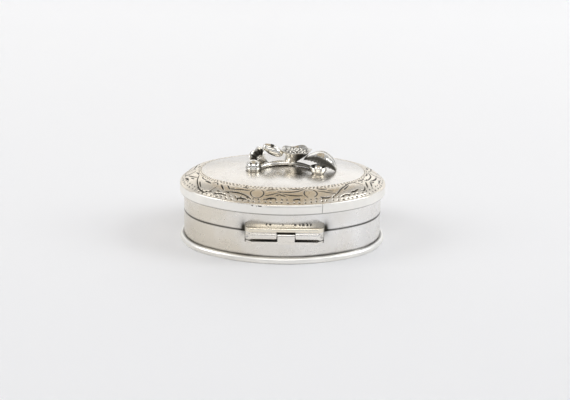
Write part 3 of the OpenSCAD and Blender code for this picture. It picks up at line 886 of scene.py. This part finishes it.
cup_outside = [cup_ring(t, 0.0) for t in np.linspace(-0.02, 1, 30)]
cup_lip = [cup_ring(1.0 + 0.016 * math.sin(a), 0.15 * (1 - math.cos(a)))
           for a in np.linspace(0.4, math.pi, 6)]
cup_inside = [cup_ring(t, 0.3) for t in np.linspace(0.97, 0.5, 12)]
cup = loft("middle_flower_cup", cup_outside + cup_lip + cup_inside, flower_silver, "lid",
           ["middle_flower"], 60)


# painted shade: darker deep inside and along the inner ribs, on the right side, at the foot, and along the
# lip, most at the back
def cup_shade(p):
    x, y, z = p.T
    angle = np.arctan2(y - CUP_Y, x - CUP_X)
    away = np.hypot(x - CUP_X, y - CUP_Y)
    share = (z - CROWN_TOP) / CUP_HIGH
    inside = (away < cup_radius(np.clip(share, 0, 1)) - 0.24) & (share > 0.45)
    right = smooth(np.cos(angle + 0.35), 0.1, 0.5) * smooth(share, 0.1, 0.3) \
        * (1 - smooth(share, 0.85, 0.93))
    foot_line = 1 - smooth(share, 0.0, 0.09)
    rib = 0.35 * smooth(np.cos(10 * angle + 1.2), 0.75, 1.0) * smooth(share, 0.45, 0.8)
    rim = smooth(away, CUP_MOUTH - 0.55, CUP_MOUTH - 0.25) * (0.3 + 0.22 * np.sin(angle))
    return np.where(inside, np.maximum(0.55 * (1 - smooth(share, 0.8, 1.0)) + rib, rim),
                    np.maximum.reduce([0.97 * right, 0.7 * foot_line, rim]))


shade_by(cup, cup_shade)

GOLDEN_ANGLE = 2.39996


def seed_group():
    """A domed head of seeds, set out in the spiral that sunflowers have."""
    tree, given, result = new_group("seed head", {
        "Count": "Int", "Radius": "Float", "Dome": "Float", "Seed size": "Float", "Seed": "Int",
        "Finish": "Material", "Ground": "Material"})
    node, calc = partial(add_node, tree), partial(maths, tree)
    plus, minus, times = sums(tree)
    index = node("GeometryNodeInputIndex").outputs[0]
    share = calc("DIVIDE", plus(index, 0.5), given["Count"])
    radius = times(calc("SQRT", share), given["Radius"])
    angle = times(index, GOLDEN_ANGLE)
    spot = combine(tree, times(radius, calc("COSINE", angle)),
                   times(radius, calc("SINE", angle)),
                   times(minus(1.0, share), given["Dome"]))
    line = node("GeometryNodeMeshLine", {"Count": given["Count"]})
    spread = node("GeometryNodeSetPosition", {"Geometry": line.outputs[0], "Position": spot})
    ball = node("GeometryNodeMeshIcoSphere", {"Subdivisions": 2, "Radius": given["Seed size"]})
    size = random_vector(tree, (0.75, 0.75, 0.8), (1.15, 1.15, 1.5), given["Seed"])
    seeds = node("GeometryNodeInstanceOnPoints", {
        "Points": spread.outputs[0], "Instance": ball.outputs[0], "Scale": size})
    real = node("GeometryNodeRealizeInstances", {0: seeds.outputs[0]})
    sphere = node("GeometryNodeMeshUVSphere", {"Segments": 48, "Rings": 16, "Radius": 1.0})
    wide = plus(given["Radius"], given["Seed size"])
    flat = node("GeometryNodeTransform", {"Geometry": sphere.outputs[0], "Scale": combine(
        tree, wide, wide, plus(given["Dome"], 0.04 * MM))})
    # the flattened ground under the seeds takes the Ground finish, which paints shade in the gaps between
    # them
    both = node("GeometryNodeJoinGeometry")
    for part, finish in ((real, "Finish"), (flat, "Ground")):
        painted = node("GeometryNodeSetMaterial", {0: part.outputs[0], "Material": given[finish]})
        tree.links.new(painted.outputs[0], both.inputs[0])
    feed(tree, result, both.outputs[0])
    return tree


seed_tree = seed_group()
grow("middle_seed_head", seed_tree, {
    "Count": 30, "Radius": 2.0 * MM, "Dome": 0.25 * MM, "Seed size": 0.22 * MM, "Seed": 5,
    "Finish": flower_silver, "Ground": gap_shade_silver}, "lid", ["middle_flower_seeds"],
    60, planted(CUP_X, CUP_Y, CROWN_TOP + 2.5, 2))

# The bell flower, open to the front left
bell_place = planted(-3.5, 2.6, CROWN_TOP, 45, 215)
BELL_LONG = 3.0


def bell_radius(share):
    return 0.62 + 1.23 * share ** 1.6


def bell_wave(a, r, z):
    edge = max(0.0, z / BELL_LONG) ** 3
    lobe = abs(math.cos(2.5 * a + 0.35)) - 0.6
    return r * (1 + edge * 0.12 * lobe), z + edge * (0.32 * lobe - 0.08)


bell_profile = [(bell_radius(max(0.0, t)), BELL_LONG * t) for t in np.linspace(-0.2, 1, 26)]
bell_profile += [(1.83, 3.03), (1.77, 3.06), (1.68, 3.05), (1.62, 3.0)]
bell_profile += [(bell_radius(t) - 0.25, BELL_LONG * t) for t in np.linspace(0.96, 0.5, 12)]
bell = turned("bell_flower_cup", bell_profile, bell_place, flower_silver, "lid", ["bell_flower"],
              120, bell_wave, 60)


def seat(piece):
    """Keeps a flower's foot from sinking deeper than a weld into the lid plate."""
    for corner in piece.data.vertices:
        corner.co.z = max(corner.co.z, (CROWN_TOP - 0.3) * MM)


seat(bell)


# painted shade: darker deep in the bell and in its folds, along the outside ribs, and towards its foot
def bell_shade(p):
    x, y, z = along_axis(bell_place, p).T
    share = np.clip(z / BELL_LONG, 0, 1)
    away, angle = np.hypot(x, y), np.arctan2(y, x)
    inside = (away < bell_radius(share) - 0.16) & (share > 0.4)
    rib = 0.5 * smooth(np.cos(5 * angle + 0.7 + math.pi), 0.8, 1.0) * smooth(share, 0.3, 0.7)
    fold = 0.8 * smooth(np.cos(10 * angle), 0.3, 1.0) * smooth(share, 0.6, 0.8)
    return np.where(inside, 0.95 - 0.95 * smooth(share, 0.82, 0.98) + fold * (share < 0.93),
                    np.maximum(rib, 0.75 * (1 - smooth(share, 0.1, 0.5))))


shade_by(bell, bell_shade)
grow("bell_stamens", seed_tree, {
    "Count": 16, "Radius": 0.62 * MM, "Dome": 0.35 * MM, "Seed size": 0.17 * MM, "Seed": 9,
    "Finish": flower_silver, "Ground": gap_shade_silver}, "lid", ["bell_flower_stamens"],
    60, bell_place @ Matrix.Translation((0, 0, 1.75)))

# The left bud: a short drum with a pierced, domed top
left_place = planted(-5.7, -1.7, CROWN_TOP - 0.03)
left_profile = [(1.25, 0), (1.3, 0.02), (1.31, 0.14), (1.36, 0.2), (1.49, 0.28), (1.54, 0.4),
                (1.54, 0.5), (1.47, 0.58), (1.45, 0.66)]
left_profile += [(1.45 * math.cos(t) ** 0.8, 0.68 + 1.25 * math.sin(t))
                 for t in np.radians(np.arange(4, 88, 2.5))]
left_bud = turned("left_bud_drum", left_profile, left_place, flower_silver, "lid", ["left_bud"],
                  140, None, 60)


def bud_holes(p):
    x, y, z = along_axis(left_place, p).T
    marks = np.zeros(len(x))
    for k in range(6):
        a = math.radians(-118 + 60 * k)
        away = np.sqrt((x - 1.1 * math.cos(a)) ** 2 + (y - 1.1 * math.sin(a)) ** 2 + (z - 1.5) ** 2)
        marks = np.maximum(marks, 1 - smooth(away / 0.25, 0.7, 1.15))
    marks = np.maximum(marks, 1 - smooth(np.hypot(x, y) / 0.25, 0.6, 1.1))
    return marks * (z > 0.9)


# the holes are shallow dents, darkened as painted shade
dent(left_bud, bud_holes, 0.3)


# painted shade: in the holes, in the grooves at the drum's foot and under its dome, and on its right side
def drum_shade(p):
    x, _, z = along_axis(left_place, p).T
    holes = np.array([v.value for v in left_bud.data.attributes["shade"].data])
    return np.maximum.reduce([holes, 0.85 * np.exp(-((z - 0.2) / 0.07) ** 2),
                              0.7 * np.exp(-((z - 0.64) / 0.05) ** 2), 0.8 * smooth(x, 1.0, 1.35)])


shade_by(left_bud, drum_shade)

# The right bud: a cup with a rounded ring for a rim, and a bead in it
right_place = planted(6.8, -3.5, CROWN_TOP - 0.05)
right_profile = [(1.04, 0), (1.08, 0.05), (1.1, 0.14), (1.3, 0.28), (1.48, 0.5), (1.59, 0.8), (1.62, 1.02)]
right_profile += [(1.52 + 0.17 * math.cos(t), 1.27 + 0.17 * math.sin(t))
                  for t in np.radians(np.arange(-30, 190, 20))]
right_profile += [(1.3, 1.15), (1.15, 1.05), (0.9, 0.95), (0.6, 0.9)]
right_bud = turned("right_bud_cup", right_profile, right_place, flower_silver, "lid", ["right_bud"],
                   72, lambda a, r, z: (r * (1 + 0.012 * math.cos(3 * a)), z), 60)


# painted shade: inside the cup, under its ring and at its foot
def right_bud_shade(p):
    x, y, z = along_axis(right_place, p).T
    away = np.hypot(x, y)
    return np.maximum.reduce([0.85 * ((away < 1.36) & (z > 0.7)).astype(float),
                              0.6 * np.exp(-((z - 1.08) / 0.05) ** 2), 0.8 * (1 - smooth(z, 0.0, 0.14))])


shade_by(right_bud, right_bud_shade)
turned("right_bud_ball", [(0.84, 0.0), (0.85, 0.12)] + [(0.84 * math.cos(t), 0.12 + 0.62 * math.sin(t))
       for t in np.radians(np.arange(10, 90, 8))], right_place @ Matrix.Translation((0, 0, 0.92)),
       flower_silver, "lid", ["right_bud_bead"], 40, None, 60)

# The closed bud behind, its petals wound round it
bud_place = Matrix.Translation((-2, 1.9, CROWN_TOP + 2.9)) @ Matrix.Rotation(math.radians(116), 4, "Y")
bud_profile = [(1.06 * math.sin(t) ** 0.8, -2.15 * math.cos(t))
               for t in np.linspace(0.09, math.pi - 0.09, 40)]
closed_bud = turned(
    "closed_bud", bud_profile, bud_place, flower_silver, "lid", ["petal_bud"], 96,
    lambda a, r, z: (r * (0.955 - 0.045 * (1 - abs(math.cos(2 * a + 0.8 * z))) ** 3 * 2), z), 60)


# painted shade between the wound petals and on the underside, and a dark spot at the tip
def closed_bud_shade(p):
    x, y, z = along_axis(bud_place, p).T
    angle = np.arctan2(y, x)
    seam = 0.75 * smooth(1 - np.abs(np.cos(2 * angle + 0.8 * z)), 0.8, 1.0)
    tip = 1 - smooth(np.hypot(p[:, 0] + 2.1, p[:, 2] - CROWN_TOP - 3.95), 0.25, 0.5)
    low = 0.85 * (1 - smooth(p[:, 2] - CROWN_TOP - 2.9 + 0.49 * (p[:, 0] + 2), -0.95, -0.6))
    return np.maximum.reduce([seam, tip, low])


shade_by(closed_bud, closed_bud_shade)


LEAF_BEND, LEAF_THICK = 3.58, 0.73
HOLLOW_X, HOLLOW_Y = -0.15, 0.75


def leaf_half(x, least):
    """Half the leaf's width at a place along it: two arcs that meet in a point at each end."""
    return np.maximum(least, np.sqrt(3.8 ** 2 - x * x) - 1.5)


def leaf_mesh():
    """An arched leaf with a sunk midrib, side veins and a lightly notched edge."""
    place = Matrix.Translation((6.9, -0.7, CROWN_TOP + 0.05)) \
        @ Matrix.Rotation(math.radians(-12), 4, "Z") @ Matrix.Rotation(math.radians(21), 4, "Y")
    long_way, wide_way = 72, 28
    sheets = []
    for depth in (0.0, LEAF_THICK):
        for i in range(long_way + 1):
            u = -1 + 2 * i / long_way
            x = 3.32 * u
            half = leaf_half(x, 0.06) * (1 + 0.03 * math.sin(34 * u)) * 0.98
            for j in range(wide_way + 1):
                v = -1 + 2 * j / wide_way
                y = half * v
                z = math.sqrt(max(0.05, LEAF_BEND ** 2 - x * x - y * y)) - depth * (1 - u * u)
                z -= 0.4 * smooth(-v, 0.7, 1.0) + 0.5 * smooth(-u, 0.2, 1.0)
                if not depth:
                    z -= 0.13 * math.exp(-(v / 0.07) ** 2)
                    z -= 0.05 * (0.5 + 0.5 * math.cos(26 * (u - 0.35 * abs(v)))) ** 3 * abs(v)
                    z -= 0.3 * math.exp(-((x - HOLLOW_X) ** 2 + (y - HOLLOW_Y) ** 2) / 0.09)
                spot = place @ Vector((x, y, z))
                spot.z = max(spot.z, CROWN_TOP - 0.02)
                sheets.append(spot)
    row, sheet = wide_way + 1, (long_way + 1) * (wide_way + 1)
    faces = []
    for i in range(long_way):
        for j in range(wide_way):
            a, b, c, d = i * row + j, (i + 1) * row + j, (i + 1) * row + j + 1, i * row + j + 1
            faces += [(a, b, c, d), (sheet + d, sheet + c, sheet + b, sheet + a)]
    rim_way = [i * row for i in range(long_way + 1)] \
        + [long_way * row + j for j in range(1, row)] \
        + [i * row + wide_way for i in range(long_way - 1, -1, -1)] \
        + [j for j in range(wide_way - 1, 0, -1)]
    for k, a in enumerate(rim_way):
        b = rim_way[(k + 1) % len(rim_way)]
        faces.append((b, a, sheet + a, sheet + b))
    return surface("arched_leaf", sheets, faces, flower_silver), place, sheet


arched_mesh, leaf_place, leaf_sheet = leaf_mesh()
leaf = keep("arched_leaf", arched_mesh, "lid", ["right_leaf"], 60)


# painted shade on the underside, along the midrib, in the hollow, at the edges and along the drooped front
# edge
def leaf_shade(p):
    x, y, _ = along_axis(leaf_place, p).T
    under = np.arange(len(x)) >= leaf_sheet
    across = y / leaf_half(x, 0.2)
    edge = 0.6 * smooth(np.abs(across), 0.93, 0.99)
    midrib = 0.8 * np.exp(-(y / 0.13) ** 2) * (np.abs(x) < 2.9)
    hollow = np.exp(-((x - HOLLOW_X) ** 2 + (y - HOLLOW_Y) ** 2) / 0.16) * 1.3
    drooped = 0.97 * smooth(-across, 0.7, 0.84)
    return np.where(under, 0.8, np.maximum.reduce([midrib, hollow, edge, drooped]))


shade_by(leaf, leaf_shade)


# ---------------------------------------------------------------- stage and camera
def stage_mesh(name, points, faces, finish):
    mesh = surface(name, points, faces, finish)
    mesh.shade_smooth()
    made = bpy.data.objects.new(name, mesh)
    bpy.context.scene.collection.objects.link(made)
    return made


def plain_paper():
    """White paper, a little darker in front than at the back: a painted shade."""
    made, tree = new_material("white paper")
    place = add_node(tree, "ShaderNodeTexCoord").outputs["Object"]
    apart = add_node(tree, "ShaderNodeSeparateXYZ", {0: place})
    share = map_range(tree, apart.outputs[1], -0.09, 0.22, 0.0, 1.0)
    colour = mix_colours(tree, share, (0.82, 0.825, 0.84, 1), (0.985, 0.99, 1.0, 1))
    shade_with(tree, Base_Color=colour, Roughness=0.7, Specular_IOR_Level=0.2)
    return made


# The floor, swept up behind in a quarter circle
floor_line = [(-900, 0), (420, 0)]
floor_line += [(420 + 300 * math.sin(math.radians(a)), 300 - 300 * math.cos(math.radians(a)))
               for a in range(10, 91, 10)]
floor_line += [(720, 1200)]
stage_mesh("floor", [(x, y, z) for y, z in floor_line for x in (-1500, 1500)],
           [(2 * i, 2 * i + 1, 2 * i + 3, 2 * i + 2) for i in range(len(floor_line) - 1)], plain_paper())


def soft_light(name, place, aim, width, height, power, colour):
    data = bpy.data.lights.new(name, "AREA")
    data.shape = "RECTANGLE"
    data.size, data.size_y = width * MM, height * MM
    data.energy = power
    data.color = colour
    made = bpy.data.objects.new(name, data)
    made.location = Vector(place) * MM
    made.rotation_mode = "QUATERNION"
    made.rotation_quaternion = (Vector(aim) - Vector(place)).to_track_quat("-Z", "Y")
    bpy.context.scene.collection.objects.link(made)


def card(name, place, aim, width, height, colour):
    """A flat card beside the set, seen only in the silver."""
    paper, tree = new_material(name)
    shade_with(tree, Base_Color=(*colour, 1), Roughness=0.9)
    facing = (Vector(aim) - Vector(place)).to_track_quat("Z", "Y")
    corners = [Vector(place) + facing @ Vector((x * width / 2, y * height / 2, 0))
               for x, y in ((-1, -1), (1, -1), (1, 1), (-1, 1))]
    stage_mesh(name, corners, [(0, 1, 2, 3)], paper).visible_camera = False


soft_light("left softbox", (-620, -160, 420), (0, 0, 0), 420, 420, 1.6, (1, 0.995, 0.985))
soft_light("right softbox", (620, -120, 420), (0, 0, 0), 420, 420, 2.0, (0.975, 0.99, 1))
soft_light("front fill", (0, -700, 620), (0, 0, 0), 700, 260, 1.6, (1, 0.99, 0.97))
soft_light("back softbox", (0, 660, 330), (0, 0, 20), 1500, 420, 0.88, (1, 0.985, 0.965))
card("tan card", (0, 70, 450), (0, 0, 14), 350, 600, (0.62, 0.53, 0.40))
card("dark card in front", (0, -330, 130), (0, 0, 14), 170, 60, (0.03, 0.03, 0.03))
card("dark card left", (-260, -210, 60), (0, 0, 10), 70, 120, (0.03, 0.03, 0.03))
card("dark card right", (270, -190, 70), (0, 0, 10), 90, 120, (0.03, 0.03, 0.03))

world = bpy.data.worlds.new("pale room")
bpy.context.scene.world = world
world.use_nodes = True
background = world.node_tree.nodes["Background"]
background.inputs[0].default_value = (0.93, 0.95, 1.0, 1)
background.inputs[1].default_value = 0.55
bpy.context.scene.view_settings.view_transform = "Standard"

camera_data = bpy.data.cameras.new("camera")
camera = bpy.data.objects.new("camera", camera_data)
bpy.context.scene.collection.objects.link(camera)
bpy.context.scene.camera = camera
camera_data.lens = 91.6
camera_data.sensor_width = 36
ELEVATION, DISTANCE, ROLL = math.radians(18.45), 284.4, math.radians(0.9)
back = Vector((0, -math.cos(ELEVATION), math.sin(ELEVATION)))
turn = (-back).to_track_quat("-Z", "Y").to_matrix().to_4x4() @ Matrix.Rotation(ROLL, 4, "Z")
right_way = turn.to_3x3() @ Vector((1, 0, 0))
up_way = turn.to_3x3() @ Vector((0, 1, 0))
aim = Vector((0, 0, 6)) + right_way * 0.53 + up_way * 1.65
camera.matrix_world = Matrix.Translation((aim + back * DISTANCE) * MM) @ turn
camera_data.clip_start, camera_data.clip_end = 0.01, 10
